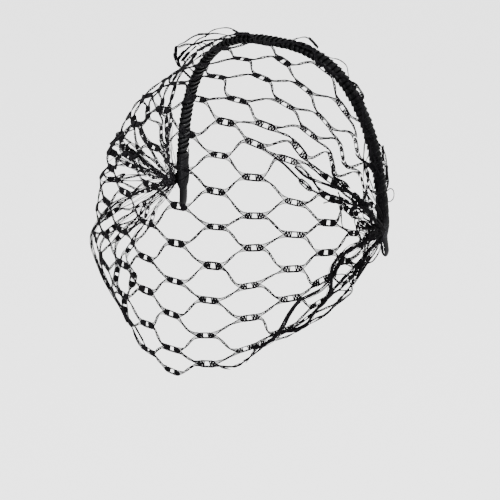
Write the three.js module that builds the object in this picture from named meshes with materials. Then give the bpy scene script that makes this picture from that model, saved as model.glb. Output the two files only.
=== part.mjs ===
import * as THREE from 'three';

// A veil headband: a stiff band over the crown, a wound ribbon cover on it, a bound wrap above each
// bare tip, and an open net of diamond cells that hangs in front of the face from one wrap to the other.
// The origin is the underside of the band at the top of the arch. +Z is up, -Y is the face's side and
// +X is the wearer's left. Lengths are in millimetres and angles in degrees.

// Band
const bandHalfSpan = 75;
const bandDrop = 119.5;
const bandRoundness = 2.66;
const bandLean = 5.6;
const coreWidth = 6.4;
const coreThickness = 1.8;
const tipRounding = 4;
const pieceGap = 0.3;

// Ribbon cover and end wraps
const coverWidth = 9.2;
const coverThickness = 4;
const tipLength = 12;
const wrapLength = 26;
const wrapWidth = 10.6;
const wrapThickness = 5.4;
const wrapSwell = 0.06;

// Fineness and outline of the cross-sections along the band
const coreSides = 10;
const coreSteps = 44;
const sleeveSides = 12;
const coverSteps = 40;
const wrapSteps = 6;
const flatRoundness = 3;
const softRoundness = 2.4;

// Net
const veilReach = 94.5;
const veilDrop = 180;
const rowCount = 11.5;
const columnPitch = 22.5;
const gatherColumn = 7;
const evenColumns = 4;
const netThickness = 1.2;
const gatherThickness = 2.4;
const knotLength = 9.6;
const knotHeight = 3.6;
const strandShoulder = 1;
const strandWaist = 0.65;
const pleatDepth = 3.2;
const gatherForward = 4.5;
const gatherHeight = 17.5;
const valleyDepth = 0.45;
const fanShares = [0.35, 0.7, 0.93];
const rowSteps = 72;
const closingStart = 0.5;

// Net sections from the hem up. Forward is a share of veilReach, drop of veilDrop, the two widths
// and the lift of bandHalfSpan. Roundness is the exponent of the section's outline.
const sectionColumns = ['row', 'forward', 'drop', 'leftWidth', 'rightWidth', 'roundness', 'lift'];
const netSections = [
  [0, 0.99, 1.0, 1.05, 1.08, 1.85, -0.04],
  [1, 0.99, 0.92, 1.17, 1.26, 1.95, -0.05],
  [2, 1.0, 0.8, 1.27, 1.42, 2.1, -0.04],
  [3, 0.98, 0.69, 1.3, 1.47, 2.2, -0.01],
  [4, 0.96, 0.57, 1.31, 1.47, 2.25, 0.03],
  [6, 0.915, 0.332, 1.27, 1.28, 2.3, 0.1],
  [7, 0.853, 0.222, 1.22, 1.2, 2.3, 0.06],
  [8, 0.76, 0.12, 1.16, 1.14, 2.35, 0.01],
  [9, 0.57, 0.065, 1.11, 1.1, 2.4, -0.02],
  [10, 0.342, 0.03, 1.08, 1.08, 2.45, -0.03],
  [11, 0.13, -0.005, 1.07, 1.07, 2.55, 0],
  [11.5, 0.016, -0.0165, 1.07, 1.07, 2.6, 0.01],
];

const seatHeight = coverThickness / 2;
const leanSlope = Math.tan(THREE.MathUtils.degToRad(bandLean));

// One column of the section table at a row, on a smooth curve through the table's rows.
function sectionAt(row, name) {
  const key = sectionColumns.indexOf(name);
  const last = netSections.length - 1;
  const x = THREE.MathUtils.clamp(row, netSections[0][0], netSections[last][0]);
  let i = 0;
  while (i < last - 1 && netSections[i + 1][0] < x) i += 1;
  const slope = (k) => {
    const before = netSections[Math.max(k - 1, 0)];
    const after = netSections[Math.min(k + 1, last)];
    return (after[key] - before[key]) / (after[0] - before[0]);
  };
  const [start, end] = [netSections[i], netSections[i + 1]];
  const span = end[0] - start[0];
  const t = (x - start[0]) / span;
  const fromStart = (2 * t ** 3 - 3 * t ** 2 + 1) * start[key] + (t ** 3 - 2 * t ** 2 + t) * span * slope(i);
  const fromEnd = (-2 * t ** 3 + 3 * t ** 2) * end[key] + (t ** 3 - t ** 2) * span * slope(i + 1);
  return fromStart + fromEnd;
}

// A point on the band's centreline. The angle runs from -90 at the right tip to 90 at the left one.
function bandPoint(angle) {
  const a = THREE.MathUtils.degToRad(angle);
  const across = Math.sign(a) * Math.abs(Math.sin(a)) ** (2 / bandRoundness);
  const down = -bandDrop * (1 - Math.abs(Math.cos(a)) ** (2 / bandRoundness));
  return new THREE.Vector3(bandHalfSpan * across, -down * leanSlope, down + seatHeight);
}

// The band's centreline as a smooth curve through a point at each quarter of a degree.
const bandAngles = Array.from({ length: 721 }, (_, i) => i / 4 - 90);
const bandCurve = new THREE.CatmullRomCurve3(bandAngles.map(bandPoint));
bandCurve.arcLengthDivisions = 2 * bandAngles.length;
const bandLength = bandCurve.getLength();
const widthAxis = new THREE.Vector3(0, Math.cos(Math.atan(leanSlope)), Math.sin(Math.atan(leanSlope)));

// The place and the two axes of a cross-section at a distance along the band.
function bandFrame(distance) {
  const share = THREE.MathUtils.clamp(distance / bandLength, 0, 1);
  const along = bandCurve.getTangentAt(share).normalize();
  const outward = new THREE.Vector3().crossVectors(along, widthAxis).negate().normalize();
  return { place: bandCurve.getPointAt(share), outward };
}

// An oval ring of points across the band.
function bandRing(distance, width, thickness, sides, roundness) {
  const { place, outward } = bandFrame(distance);
  const ring = [];
  for (let i = 0; i < sides; i += 1) {
    const a = ((i + 0.5) / sides) * 2 * Math.PI;
    const across = Math.sign(Math.cos(a)) * Math.abs(Math.cos(a)) ** (2 / roundness) * (width / 2);
    const out = Math.sign(Math.sin(a)) * Math.abs(Math.sin(a)) ** (2 / roundness) * (thickness / 2);
    ring.push(place.clone().addScaledVector(widthAxis, across).addScaledVector(outward, out));
  }
  return ring;
}

// A closed geometry from a list of points and a list of triangles.
function closedGeometry(points, triangles) {
  const geometry = new THREE.BufferGeometry();
  geometry.setAttribute('position', new THREE.Float32BufferAttribute(points.flatMap((p) => p.toArray()), 3));
  geometry.setIndex(triangles.flat());
  geometry.computeVertexNormals();
  return geometry;
}

// The triangles between two rings of equal length whose first points are numbered a and b.
function ringTriangles(a, b, sides) {
  const triangles = [];
  for (let i = 0; i < sides; i += 1) {
    const j = (i + 1) % sides;
    triangles.push([a + i, b + j, a + j]);
    triangles.push([a + i, b + i, b + j]);
  }
  return triangles;
}

// A solid rod through a list of rings, closed at both ends by a fan.
function solidThrough(rings) {
  const sides = rings[0].length;
  const points = rings.flat();
  const triangles = [];
  for (let k = 0; k + 1 < rings.length; k += 1) {
    triangles.push(...ringTriangles(k * sides, (k + 1) * sides, sides));
  }
  const last = (rings.length - 1) * sides;
  for (let i = 1; i + 1 < sides; i += 1) {
    triangles.push([0, i, i + 1]);
    triangles.push([last, last + i + 1, last + i]);
  }
  return closedGeometry(points, triangles);
}

// A hollow sleeve: the outer rings out and the inner rings back, joined at both mouths.
function sleeveThrough(outer, inner) {
  const sides = outer[0].length;
  const loops = [...outer, ...inner.toReversed()];
  const triangles = [];
  for (let k = 0; k < loops.length; k += 1) {
    triangles.push(...ringTriangles(k * sides, ((k + 1) % loops.length) * sides, sides));
  }
  return closedGeometry(loops.flat(), triangles);
}

// Distances along the band from one place to another, in equal steps.
function stations(start, end, steps) {
  return Array.from({ length: steps + 1 }, (_, i) => start + ((end - start) * i) / steps);
}

// Band: a flat rod whose width and thickness round off at the two tips.
function makeCore() {
  const tipSteps = [0.02, 0.25, 0.6, 1];
  const ends = tipSteps.map((share) => share * tipRounding);
  const middle = stations(tipRounding, bandLength - tipRounding, coreSteps).slice(1, -1);
  const places = [...ends, ...middle, ...ends.map((d) => bandLength - d).reverse()];
  const rings = places.map((distance) => {
    const fromTip = Math.min(distance, bandLength - distance, tipRounding) / tipRounding;
    const fullness = Math.sqrt(1 - (1 - fromTip) ** 2);
    const thickness = coreThickness * (0.4 + 0.6 * fullness);
    return bandRing(distance, coreWidth * fullness, thickness, coreSides, flatRoundness);
  });
  return solidThrough(rings);
}

// A sleeve on the band between two distances, a little fuller at its middle by the share given.
function makeSleeve(start, end, width, thickness, steps, swell) {
  const places = stations(start, end, steps);
  const boreWidth = coreWidth + 2 * pieceGap;
  const boreThickness = coreThickness + 2 * pieceGap;
  const outer = places.map((distance, i) => {
    const full = 1 + swell * Math.sin((Math.PI * i) / steps);
    return bandRing(distance, width * full, thickness * full, sleeveSides, softRoundness);
  });
  const inner = places.map((d) => bandRing(d, boreWidth, boreThickness, sleeveSides, flatRoundness));
  return sleeveThrough(outer, inner);
}

const wrapStart = tipLength;
const wrapEnd = tipLength + wrapLength;
const coverStart = wrapEnd + pieceGap;

// The place where the net is gathered, on the outer face of an end wrap.
const wrapMiddle = bandFrame(bandLength - tipLength - wrapLength / 2).place;
const gatherPlace = new THREE.Vector3(
  wrapMiddle.x + (wrapThickness * (1 + wrapSwell)) / 2 + pieceGap + gatherThickness / 2,
  wrapMiddle.y - gatherForward,
  seatHeight - bandDrop + gatherHeight,
);

// One half of a net row as a line of points from the middle of the front to the gather.
function halfRow(row, side) {
  const width = bandHalfSpan * sectionAt(row, side > 0 ? 'leftWidth' : 'rightWidth');
  const power = 2 / sectionAt(row, 'roundness');
  const reach = veilReach * sectionAt(row, 'forward') + gatherPlace.y;
  const rise = seatHeight - veilDrop * sectionAt(row, 'drop') - gatherPlace.z;
  const lift = bandHalfSpan * sectionAt(row, 'lift');
  const points = [];
  for (let i = 0; i <= rowSteps; i += 1) {
    const a = (i / rowSteps) * (Math.PI / 2);
    const across = Math.sin(a) ** power;
    const ahead = Math.cos(a) ** power;
    const closing = THREE.MathUtils.smoothstep(i / rowSteps, closingStart, 1);
    points.push(new THREE.Vector3(
      side * (width * across - (width - gatherPlace.x) * closing),
      gatherPlace.y - reach * ahead,
      gatherPlace.z + rise * ahead + lift * Math.sin(2 * a),
    ));
  }
  return points;
}

// Rows are drawn once and kept, with the distance of each point from the middle of the front.
const drawnRows = new Map();
function drawnRow(row, side) {
  const key = `${row.toFixed(4)} ${side}`;
  if (!drawnRows.has(key)) {
    const points = halfRow(row, side);
    const lengths = [0];
    for (let i = 1; i < points.length; i += 1) {
      lengths.push(lengths[i - 1] + points[i].distanceTo(points[i - 1]));
    }
    drawnRows.set(key, { points, lengths });
  }
  return drawnRows.get(key);
}

// The net's middle surface without its pleats: a column counts from the middle, a row from the hem.
function smoothNet(column, row) {
  const side = column < 0 ? -1 : 1;
  const { points, lengths } = drawnRow(row, side);
  const total = lengths[lengths.length - 1];
  const count = Math.min(Math.abs(column), gatherColumn);
  const evenPart = evenColumns * columnPitch;
  const spread = (count - evenColumns) / (gatherColumn - evenColumns);
  const distance = count <= evenColumns ? count * columnPitch : evenPart + spread * (total - evenPart);
  let i = 1;
  while (i < lengths.length - 1 && lengths[i] < distance) i += 1;
  const share = (distance - lengths[i - 1]) / (lengths[i] - lengths[i - 1]);
  return points[i - 1].clone().lerp(points[i], share);
}

// How the net's surface runs along a row and up a column, and its outward direction.
function netDirections(column, row) {
  const step = 0.05;
  const left = Math.max(column - step, -gatherColumn);
  const right = Math.min(column + step, gatherColumn);
  const low = Math.max(row - step, 0);
  const high = Math.min(row + step, rowCount);
  const along = smoothNet(right, row).sub(smoothNet(left, row)).divideScalar(right - left);
  const upward = smoothNet(column, high).sub(smoothNet(column, low)).divideScalar(high - low);
  const outward = new THREE.Vector3().crossVectors(along, upward).normalize();
  return { along, upward, outward };
}

// Pleats rise between the even columns and the gather, where the net bunches up.
function pleatHeight(column, row) {
  const count = Math.abs(column);
  const growing = THREE.MathUtils.smoothstep(count, evenColumns - 0.8, evenColumns + 1);
  const fading = 1 - THREE.MathUtils.smoothstep(count, gatherColumn - 1.6, gatherColumn - 0.3);
  const nearBand = 1 - THREE.MathUtils.smoothstep(row, rowCount - 2.5, rowCount - 1);
  return pleatDepth * growing * fading * nearBand * Math.sin(Math.PI * row);
}

function netPoint(column, row) {
  const { outward } = netDirections(column, row);
  return smoothNet(column, row).addScaledVector(outward, pleatHeight(column, row));
}

// A sheet with holes: numbered places on the net and the faces between them, as rings of numbers.
class NetSheet {
  constructor() {
    this.places = [];
    this.faces = [];
    this.numbers = new Map();
  }

  place(column, row) {
    const key = `${column.toFixed(5)} ${row.toFixed(5)}`;
    if (!this.numbers.has(key)) {
      this.numbers.set(key, this.places.length);
      this.places.push([column, row]);
    }
    return this.numbers.get(key);
  }

  face(...corners) {
    this.faces.push(corners.map(([column, row]) => this.place(column, row)));
  }

  // Both skins, half the wall to either side, and a side wall along each open edge.
  thicken() {
    const outer = [];
    const inner = [];
    this.places.forEach(([column, row]) => {
      const { outward } = netDirections(column, row);
      const bunched = THREE.MathUtils.smoothstep(Math.abs(column), evenColumns + 1, gatherColumn);
      const half = THREE.MathUtils.lerp(netThickness, gatherThickness, bunched) / 2;
      const middle = netPoint(column, row);
      outer.push(middle.clone().addScaledVector(outward, half));
      inner.push(middle.clone().addScaledVector(outward, -half));
    });
    const count = this.places.length;
    const triangles = [];
    const open = new Map();
    this.faces.forEach((ring) => {
      for (let i = 1; i + 1 < ring.length; i += 1) {
        triangles.push([ring[0], ring[i], ring[i + 1]]);
        triangles.push([ring[0] + count, ring[i + 1] + count, ring[i] + count]);
      }
      ring.forEach((from, i) => {
        const to = ring[(i + 1) % ring.length];
        if (!open.delete(`${to} ${from}`)) open.set(`${from} ${to}`, [from, to]);
      });
    });
    open.forEach(([from, to]) => {
      triangles.push([from, from + count, to + count]);
      triangles.push([from, to + count, to]);
    });
    return closedGeometry([...outer, ...inner], triangles);
  }
}

// The six corners of a knot, kept at their real size where the rows run close together.
function knotCorners(column, row) {
  const { along, upward } = netDirections(column, row);
  const half = Math.min(knotLength / 2 / along.length(), 0.3);
  const shoulder = half - strandShoulder / along.length();
  const height = Math.min(knotHeight / 2 / upward.length(), 0.2);
  const level = THREE.MathUtils.clamp(row, height, rowCount - height);
  return {
    left: [column - half, level],
    lowLeft: [column - shoulder, level - height],
    lowRight: [column + shoulder, level - height],
    right: [column + half, level],
    highRight: [column + shoulder, level + height],
    highLeft: [column - shoulder, level + height],
  };
}

function between(a, b, share) {
  return [THREE.MathUtils.lerp(a[0], b[0], share), THREE.MathUtils.lerp(a[1], b[1], share)];
}

// One strand from a knot's right end to the left end of a knot in the next column, narrower at its waist.
function addStrand(sheet, upperStart, lowerStart, upperEnd, lowerEnd) {
  const upper = between(upperStart, upperEnd, 0.5);
  const lower = between(lowerStart, lowerEnd, 0.5);
  const middle = between(upper, lower, 0.5);
  const upperMiddle = between(middle, upper, strandWaist);
  const lowerMiddle = between(middle, lower, strandWaist);
  sheet.face(lowerStart, lowerMiddle, upperMiddle, upperStart);
  sheet.face(lowerMiddle, lowerEnd, upperEnd, upperMiddle);
}

// The gathered fan between the last column of knots and the wrap, on one side.
function addFan(sheet, side, knots) {
  const edge = [];
  const inOrder = side > 0 ? ['lowRight', 'right', 'highRight'] : ['lowLeft', 'left', 'highLeft'];
  knots.forEach((knot, i) => {
    inOrder.forEach((name) => edge.push(knot[name]));
    if (i + 1 < knots.length) {
      const [column, row] = between(knot[inOrder[2]], knots[i + 1][inOrder[0]], 0.5);
      edge.push([column + side * valleyDepth, row]);
    }
  });
  const rings = [edge];
  fanShares.forEach((share) => {
    rings.push(edge.map(([column, row]) => [THREE.MathUtils.lerp(column, side * gatherColumn, share), row]));
  });
  for (let k = 0; k + 1 < rings.length; k += 1) {
    for (let i = 0; i + 1 < edge.length; i += 1) {
      const corners = [rings[k][i], rings[k + 1][i], rings[k + 1][i + 1], rings[k][i + 1]];
      sheet.face(...(side > 0 ? corners : corners.reverse()));
    }
  }
}

// Net: knots in staggered columns, strands between them and a fan at each end.
function makeNet() {
  const sheet = new NetSheet();
  const lastColumn = gatherColumn - 2;
  const columns = new Map();
  for (let column = -lastColumn; column <= lastColumn; column += 1) {
    const knots = new Map();
    for (let row = Math.abs(column % 2) / 2; row <= rowCount; row += 1) {
      knots.set(row, knotCorners(column, row));
    }
    columns.set(column, knots);
  }
  columns.forEach((knots, column) => {
    const next = columns.get(column + 1);
    knots.forEach((knot, row) => {
      sheet.face(knot.left, knot.lowLeft, knot.lowRight, knot.right, knot.highRight, knot.highLeft);
      const above = next && next.get(row + 0.5);
      const below = next && next.get(row - 0.5);
      if (above) addStrand(sheet, knot.highRight, knot.right, above.left, above.lowLeft);
      if (below) addStrand(sheet, knot.right, knot.lowRight, below.highLeft, below.left);
    });
  });
  addFan(sheet, 1, [...columns.get(lastColumn).values()]);
  addFan(sheet, -1, [...columns.get(-lastColumn).values()]);
  return sheet.thicken();
}

// Materials
const glossyPlastic = new THREE.MeshStandardMaterial({ color: 0x0a0a0c, roughness: 0.18, metalness: 0 });
const woundRibbon = new THREE.MeshStandardMaterial({ color: 0x0e0e10, roughness: 0.85, metalness: 0 });
const bindingRibbon = new THREE.MeshStandardMaterial({ color: 0x121214, roughness: 0.6, metalness: 0 });
const netThread = new THREE.MeshStandardMaterial({ color: 0x1d1b1f, roughness: 0.7, metalness: 0 });

const veilHeadband = new THREE.Group();

function addPiece(name, geometry, material) {
  const piece = new THREE.Mesh(geometry, material);
  piece.name = name;
  veilHeadband.add(piece);
}

function makeCover() {
  return makeSleeve(coverStart, bandLength - coverStart, coverWidth, coverThickness, coverSteps, 0);
}

function makeWrap(start, end) {
  return makeSleeve(start, end, wrapWidth, wrapThickness, wrapSteps, wrapSwell);
}

addPiece('headband_core', makeCore(), glossyPlastic);
addPiece('band_cover', makeCover(), woundRibbon);
addPiece('end_wrap_right', makeWrap(wrapStart, wrapEnd), bindingRibbon);
addPiece('end_wrap_left', makeWrap(bandLength - wrapEnd, bandLength - wrapStart), bindingRibbon);
addPiece('veil_net', makeNet(), netThread);

export default veilHeadband;
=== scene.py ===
import math

import bpy
import numpy as np
from mathutils import Matrix, Vector


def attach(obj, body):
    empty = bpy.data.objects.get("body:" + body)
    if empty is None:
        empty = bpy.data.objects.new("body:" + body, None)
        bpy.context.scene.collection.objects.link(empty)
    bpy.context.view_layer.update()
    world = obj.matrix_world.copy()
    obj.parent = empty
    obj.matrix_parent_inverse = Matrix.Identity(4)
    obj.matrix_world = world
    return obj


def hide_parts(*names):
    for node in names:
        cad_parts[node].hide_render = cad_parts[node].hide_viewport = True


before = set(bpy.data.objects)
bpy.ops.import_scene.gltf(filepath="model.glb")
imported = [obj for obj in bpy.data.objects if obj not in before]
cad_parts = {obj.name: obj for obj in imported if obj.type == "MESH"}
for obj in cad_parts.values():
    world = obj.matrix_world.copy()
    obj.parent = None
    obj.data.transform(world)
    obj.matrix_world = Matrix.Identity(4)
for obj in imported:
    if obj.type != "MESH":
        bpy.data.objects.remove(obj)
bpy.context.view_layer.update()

mm = 0.001
tiny = 1e-9
anyPhase = 6.3  # about a full turn, in radians
threadSeed = 11
rng = np.random.default_rng(threadSeed)

# Band, in millimetres, as the frame's own pieces have it
band = {
    "halfSpan": 75.0,
    "drop": 119.5,
    "roundness": 2.66,
    "lean": 5.6,  # degrees that the legs lean back
    "coverThickness": 4.0,
    "tipLength": 12.0,
    "wrapLength": 26.0,
    "lineSteps": 1441,
}
seatHeight = band["coverThickness"] / 2
leanSlope = math.tan(math.radians(band["lean"]))

# Net, in millimetres
net = {
    "reach": 94.5,
    "drop": 180.0,
    "rows": 11.5,
    "rowSteps": 181,
    "columnPitch": 22.5,
    "gatherColumn": 7,
    "evenColumns": 4,
    "gatherPlace": (79.4, 4.9, -100.0),
    "closingFrom": 0.5,  # share of a half row where it starts to close on the gather
}

# Pleats by the gathers: depth, and the columns and rows over which they grow and fade
pleats = {"depth": 3.6, "growing": (3.2, 5), "fading": (5.4, 6.7), "nearBand": (9, 10.5)}

# Net sections from the hem up: lengths as shares of the sizes above, and how square the row is
sectionColumns = ("row", "forward", "drop", "leftWidth", "rightWidth", "roundness", "lift")
netSections = np.array([
    (0, 0.99, 1.0, 1.05, 1.08, 1.85, -0.04),
    (1, 0.99, 0.92, 1.17, 1.26, 1.95, -0.05),
    (2, 1.0, 0.8, 1.27, 1.42, 2.1, -0.04),
    (3, 0.98, 0.69, 1.3, 1.47, 2.2, -0.01),
    (4, 0.96, 0.57, 1.31, 1.47, 2.25, 0.03),
    (6, 0.915, 0.332, 1.27, 1.28, 2.3, 0.1),
    (7, 0.853, 0.222, 1.22, 1.2, 2.3, 0.06),
    (8, 0.76, 0.12, 1.16, 1.14, 2.35, 0.01),
    (9, 0.57, 0.065, 1.11, 1.1, 2.4, -0.02),
    (10, 0.342, 0.03, 1.08, 1.08, 2.45, -0.03),
    (11, 0.13, -0.005, 1.07, 1.07, 2.55, 0.0),
    (11.5, 0.016, -0.0165, 1.07, 1.07, 2.6, 0.01),
])


def smooth(low, high, x):
    t = np.clip((np.asarray(x, float) - low) / (high - low), 0, 1)
    return t * t * (3 - 2 * t)


def unit(v):
    return v / np.maximum(np.linalg.norm(v, axis=-1, keepdims=True), tiny)


# A sine or cosine made fuller, so that a ring of points is squarer
def squarer(wave, power):
    return np.sign(wave) * np.abs(wave) ** power


def hermite(start, end, startSlope, endSlope, t):
    return ((2 * t**3 - 3 * t**2 + 1) * start + (t**3 - 2 * t**2 + t) * startSlope
            + (3 * t**2 - 2 * t**3) * end + (t**3 - t**2) * endSlope)


# One column of the sections at any row, on a smooth curve through its values
def sectionAt(row, name):
    rows, values = netSections[:, 0], netSections[:, sectionColumns.index(name)]
    x = min(max(row, rows[0]), rows[-1])
    i = min(max(int(np.searchsorted(rows, x)) - 1, 0), len(rows) - 2)
    before, after = max(i - 1, 0), min(i + 2, len(rows) - 1)
    startSlope = (values[i + 1] - values[before]) / (rows[i + 1] - rows[before])
    endSlope = (values[after] - values[i]) / (rows[after] - rows[i])
    span = rows[i + 1] - rows[i]
    return hermite(values[i], values[i + 1], startSlope * span, endSlope * span, (x - rows[i]) / span)


# Points at the given columns on one half of a net row
def halfRow(row, side, columns):
    gatherX, gatherY, gatherZ = net["gatherPlace"]
    width = band["halfSpan"] * sectionAt(row, "leftWidth" if side > 0 else "rightWidth")
    power = 2 / sectionAt(row, "roundness")
    reach = net["reach"] * sectionAt(row, "forward") + gatherY
    rise = seatHeight - net["drop"] * sectionAt(row, "drop") - gatherZ
    lift = band["halfSpan"] * sectionAt(row, "lift")
    share = np.linspace(0, 1, net["rowSteps"])
    across = np.sin(share * np.pi / 2) ** power
    ahead = np.cos(share * np.pi / 2) ** power
    closing = smooth(net["closingFrom"], 1, share)
    line = np.stack([
        side * (width * across - (width - gatherX) * closing),
        gatherY - reach * ahead,
        gatherZ + rise * ahead + lift * np.sin(share * np.pi),
    ], -1)
    lengths = np.r_[0, np.cumsum(np.linalg.norm(np.diff(line, axis=0), axis=1))]
    evenPart = net["evenColumns"] * net["columnPitch"]
    spread = (columns - net["evenColumns"]) / (net["gatherColumn"] - net["evenColumns"])
    even = columns * net["columnPitch"]
    distance = np.where(columns <= net["evenColumns"], even, evenPart + spread * (lengths[-1] - evenPart))
    return np.stack([np.interp(distance, lengths, line[:, k]) for k in range(3)], -1)


# The net's surface is drawn once on a fine grid of columns and rows, and then read between them
gridStep = 0.05
gridRows = np.arange(0, net["rows"] + gridStep / 2, gridStep)
gridColumns = np.arange(-net["gatherColumn"], net["gatherColumn"] + gridStep / 2, gridStep)


def drawNetGrid():
    left, right = gridColumns[gridColumns > -tiny], -gridColumns[gridColumns < -tiny]
    grid = np.array([np.vstack([halfRow(r, -1, right), halfRow(r, 1, left)]) for r in gridRows])
    along, upward = np.gradient(grid, gridStep, axis=1), np.gradient(grid, gridStep, axis=0)
    outward = unit(np.cross(along, upward))
    count = np.abs(gridColumns)[None, :]
    grown = smooth(*pleats["growing"], count)
    kept = 1 - smooth(*pleats["fading"], count)
    keptByBand = 1 - smooth(*pleats["nearBand"], gridRows)[:, None]
    depths = pleats["depth"] * grown * kept * keptByBand * np.sin(np.pi * gridRows)[:, None]
    return grid + outward * depths[..., None], outward


netGrid, outwardGrid = drawNetGrid()


def readGrid(grid, column, row):
    lastCell = 1.001  # keeps a reading inside the last cell
    c = np.clip((np.asarray(column, float) - gridColumns[0]) / gridStep, 0, len(gridColumns) - lastCell)
    r = np.clip((np.asarray(row, float) - gridRows[0]) / gridStep, 0, len(gridRows) - lastCell)
    ci, ri = c.astype(int), r.astype(int)
    cf, rf = (c - ci)[..., None], (r - ri)[..., None]
    low = grid[ri, ci] * (1 - cf) + grid[ri, ci + 1] * cf
    high = grid[ri + 1, ci] * (1 - cf) + grid[ri + 1, ci + 1] * cf
    return low * (1 - rf) + high * rf


def netPoint(column, row):
    return readGrid(netGrid, column, row)


def netOutward(column, row):
    return unit(readGrid(outwardGrid, column, row))


# Band centreline, from the right tip to the left one
def drawBandLine():
    a = np.radians(np.linspace(-90, 90, band["lineSteps"]))
    across = squarer(np.sin(a), 2 / band["roundness"])
    down = -band["drop"] * (1 - np.abs(np.cos(a)) ** (2 / band["roundness"]))
    return np.stack([band["halfSpan"] * across, -down * leanSlope, down + seatHeight], -1)


bandLine = drawBandLine()
bandDistances = np.r_[0, np.cumsum(np.linalg.norm(np.diff(bandLine, axis=0), axis=1))]
bandLength = bandDistances[-1]
leanAngle = math.atan(leanSlope)
widthAxis = np.array([0, math.cos(leanAngle), math.sin(leanAngle)])


# Centre and outward direction at distances along the band
def bandFrame(distance):
    probe = 0.5
    place, ahead, behind = (
        np.stack([np.interp(distance + step, bandDistances, bandLine[:, k]) for k in range(3)], -1)
        for step in (0, probe, -probe))
    return place, unit(np.cross(ahead - behind, widthAxis))


# A new piece from points in millimetres and lists of faces
def meshPiece(name, points, faces):
    mesh = bpy.data.meshes.new(name)
    mesh.from_pydata((np.asarray(points).reshape(-1, 3) * mm).tolist(), [], faces)
    mesh.polygons.foreach_set("use_smooth", [True] * len(mesh.polygons))
    mesh.update()
    piece = bpy.data.objects.new(name, mesh)
    bpy.context.scene.collection.objects.link(piece)
    return piece


# Faces between neighbouring rings of points, and a lid at each end
def ringFaces(rings, sides):
    ring, side = np.arange(rings - 1)[:, None], np.arange(sides)[None, :]
    nextRing, nextSide = ring + 1, (side + 1) % sides
    quads = np.stack([
        ring * sides + side,
        nextRing * sides + side,
        nextRing * sides + nextSide,
        ring * sides + nextSide,
    ], -1).reshape(-1, 4)
    lids = [list(range(sides)), list(range(rings * sides - 1, (rings - 1) * sides - 1, -1))]
    return quads.tolist() + lids


# Thin tubes along many paths at once: paths and outward are (count, steps, 3)
def tubes(paths, radius, sides, outward, closed=False):
    count, steps = paths.shape[:2]
    if closed:
        tangent = unit(np.roll(paths, -1, 1) - np.roll(paths, 1, 1))
    else:
        tangent = unit(np.gradient(paths, axis=1))
    across = unit(np.cross(tangent, outward))
    up = np.cross(across, tangent)
    a = 2 * np.pi * np.arange(sides) / sides
    r = np.broadcast_to(np.asarray(radius, float), (count, steps))[..., None, None]
    ring = np.cos(a)[:, None] * across[:, :, None] + np.sin(a)[:, None] * up[:, :, None]
    points = paths[:, :, None] + r * ring
    start = (np.arange(count) * steps * sides)[:, None, None]
    step = np.arange(steps if closed else steps - 1)[None, :, None]
    side = np.arange(sides)[None, None, :]
    nextStep, nextSide = (step + 1) % steps, (side + 1) % sides
    quads = np.stack([
        start + step * sides + side,
        start + nextStep * sides + side,
        start + nextStep * sides + nextSide,
        start + step * sides + nextSide,
    ], -1).reshape(-1, 4)
    faces = quads.tolist()
    if not closed:
        first = np.arange(count) * steps * sides
        for s in first:
            faces.append(list(range(s, s + sides)))
            e = s + (steps - 1) * sides
            faces.append(list(range(e + sides - 1, e - 1, -1)))
    return points.reshape(-1, 3), faces


# Several (points, faces) as one
def joined(parts):
    points, faces, start = [], [], 0
    for p, f in parts:
        points.append(p)
        faces.extend([[i + start for i in face] for face in f])
        start += len(p)
    return np.vstack(points), faces


# Materials
def newMaterial(name, roughness, specular=0.5):
    material = bpy.data.materials.new(name)
    material.use_nodes = True
    shader = material.node_tree.nodes["Principled BSDF"]
    shader.inputs["Roughness"].default_value = roughness
    shader.inputs["Specular IOR Level"].default_value = specular
    return material, shader


finishes = {
    "netThread": {
        "roughness": 0.55,
        "specular": 0.03,
        "dark": (0.002, 0.002, 0.0024),
        "light": (0.008, 0.0072, 0.0086),
        "scale": 900,
        "bump": 0.5,
    },
    "woundRibbon": {
        "roughness": 0.34,
        "specular": 0.03,
        "dark": (0.001, 0.001, 0.0012),
        "light": (0.005, 0.005, 0.0055),
        "scale": 1500,
        "bump": 0.6,
    },
    "bindingRibbon": {
        "roughness": 0.4,
        "specular": 0.014,
        "dark": (0.001, 0.001, 0.0013),
        "light": (0.004, 0.004, 0.0044),
        "scale": 1100,
        "bump": 0.4,
    },
    "glossyPlastic": {
        "roughness": 0.09,
        "specular": 0.045,
        "dark": (0.0002, 0.0002, 0.0003),
        "light": (0.0006, 0.0006, 0.0007),
        "scale": 60,
        "bump": 0.02,
    },
}
mottling = {"detail": 4, "darkBelow": 0.35, "lightAbove": 0.7, "bumpDistance": 0.0002}


# Black that drifts between two shades, with a fine bump at the same scale
def mottledBlack(name):
    finish = finishes[name]
    material, shader = newMaterial(name, finish["roughness"], finish["specular"])
    nodes, links = material.node_tree.nodes, material.node_tree.links
    place = nodes.new("ShaderNodeTexCoord")
    noise = nodes.new("ShaderNodeTexNoise")
    noise.inputs["Scale"].default_value = finish["scale"]
    noise.inputs["Detail"].default_value = mottling["detail"]
    ramp = nodes.new("ShaderNodeValToRGB")
    darkEnd, lightEnd = ramp.color_ramp.elements
    darkEnd.position, lightEnd.position = mottling["darkBelow"], mottling["lightAbove"]
    darkEnd.color, lightEnd.color = (*finish["dark"], 1), (*finish["light"], 1)
    relief = nodes.new("ShaderNodeBump")
    relief.inputs["Strength"].default_value = finish["bump"]
    relief.inputs["Distance"].default_value = mottling["bumpDistance"]
    links.new(place.outputs["Object"], noise.inputs["Vector"])
    links.new(noise.outputs["Fac"], ramp.inputs["Fac"])
    links.new(ramp.outputs["Color"], shader.inputs["Base Color"])
    links.new(noise.outputs["Fac"], relief.inputs["Height"])
    links.new(relief.outputs["Normal"], shader.inputs["Normal"])
    return material


netThread, woundRibbon, bindingRibbon, glossyPlastic = (mottledBlack(name) for name in finishes)


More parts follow.
